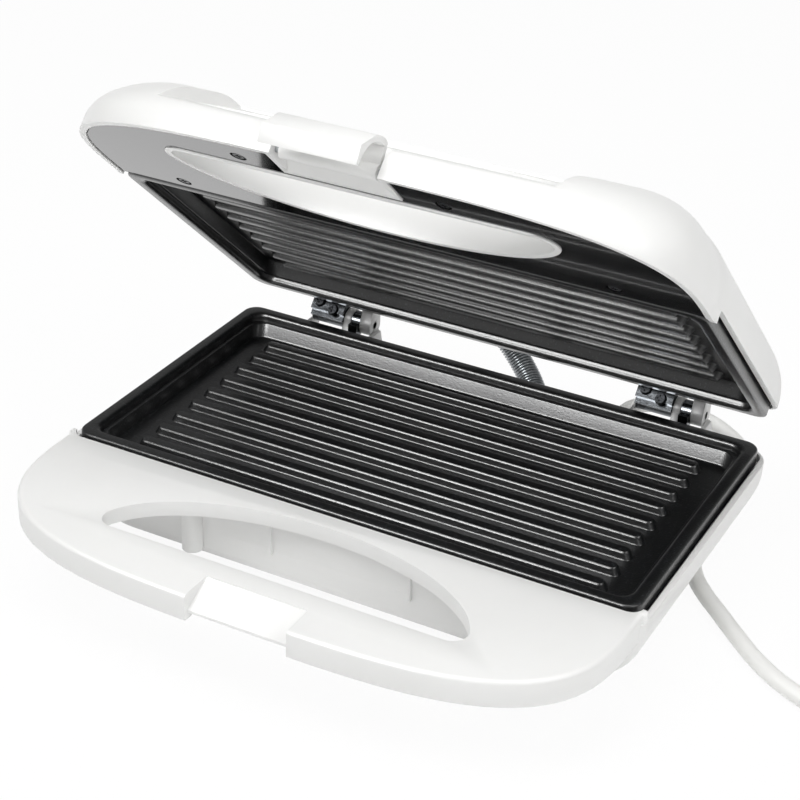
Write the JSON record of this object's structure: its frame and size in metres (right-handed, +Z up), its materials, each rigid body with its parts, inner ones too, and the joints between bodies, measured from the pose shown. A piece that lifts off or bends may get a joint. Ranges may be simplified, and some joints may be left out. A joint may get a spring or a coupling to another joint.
{
  "type": "sandwich toaster",
  "caption": "Sandwich toaster standing open: hinged white housings with a hand hole in each grip, ribbed non-stick plates, a hooked latch, a spring conduit and a mains cord with plug.",
  "frame": {"origin": "on the table plane, under the middle of the toaster's box without its cord, as it stands open", "axes": "+X runs across the toaster, to the right as seen from the front; the grips face -Y; +Z is up"},
  "size_m": [0.3835, 0.2606, 0.1934],
  "materials": {
    "white_plastic": "satin white moulding",
    "non_stick": "black non-stick coating on cast aluminium",
    "element_steel": "annealed tube",
    "sheet_aluminium": "rolled sheet",
    "bright_steel": "zinc plated",
    "black_rubber": "matt",
    "ivory_plastic": "matt, heat resistant",
    "lead_insulation": "silicone insulation",
    "black_steel": "black coated steel",
    "white_cord": "soft white insulation",
    "pin_brass": "nickel plated",
    "black_gloss": "glossy black",
    "red_lamp": "translucent red",
    "green_lamp": "translucent green",
    "conduit_steel": "dark plated spring wire"
  },
  "bodies": {
    "base": {"base_shell": "white_plastic", "base_plate": "non_stick", "base_heater": "element_steel", "base_reflector": "sheet_aluminium", "base_screws": "bright_steel", "rubber_feet": "black_rubber", "terminal_block": "ivory_plastic", "base_wiring": "lead_insulation", "base_hinge_leaves": "black_steel", "base_hinge_screws": "bright_steel", "hinge_pins": "bright_steel", "base_grommet": "black_rubber", "strain_relief": "white_cord", "power_cord": "white_cord", "cord_coil": "white_cord", "plug_body": "white_cord", "plug_pins": "pin_brass", "conduit_spring": "conduit_steel", "conduit_sleeve": "black_rubber"},
    "lid": {"lid_shell": "white_plastic", "lid_panel": "black_gloss", "panel_screws": "black_steel", "lid_plate": "non_stick", "lid_heater": "element_steel", "lid_reflector": "sheet_aluminium", "reflector_screws": "bright_steel", "thermostat": "ivory_plastic", "thermal_fuse": "sheet_aluminium", "lid_wiring": "lead_insulation", "power_lamp": "red_lamp", "ready_lamp": "green_lamp", "lid_hinge_leaves": "black_steel", "lid_hinge_screws": "bright_steel", "lid_grommet": "black_rubber", "latch_pin": "bright_steel"},
    "latch": {"latch_clip": "white_plastic"}
  },
  "joints": [
    {"name": "lid_hinge", "type": "hinge", "parent": "base", "child": "lid", "pos_m": [0, 0.09276, 0.0397], "axis": [-1, 0, 0], "range_deg": [-41.8, 58.2], "deforming": ["conduit_spring", "conduit_sleeve"]},
    {"name": "latch_pivot", "type": "hinge", "parent": "lid", "child": "latch", "pos_m": [0, -0.05515, 0.17959], "axis": [1, 0, 0], "range_deg": [0, 75]}
  ]
}
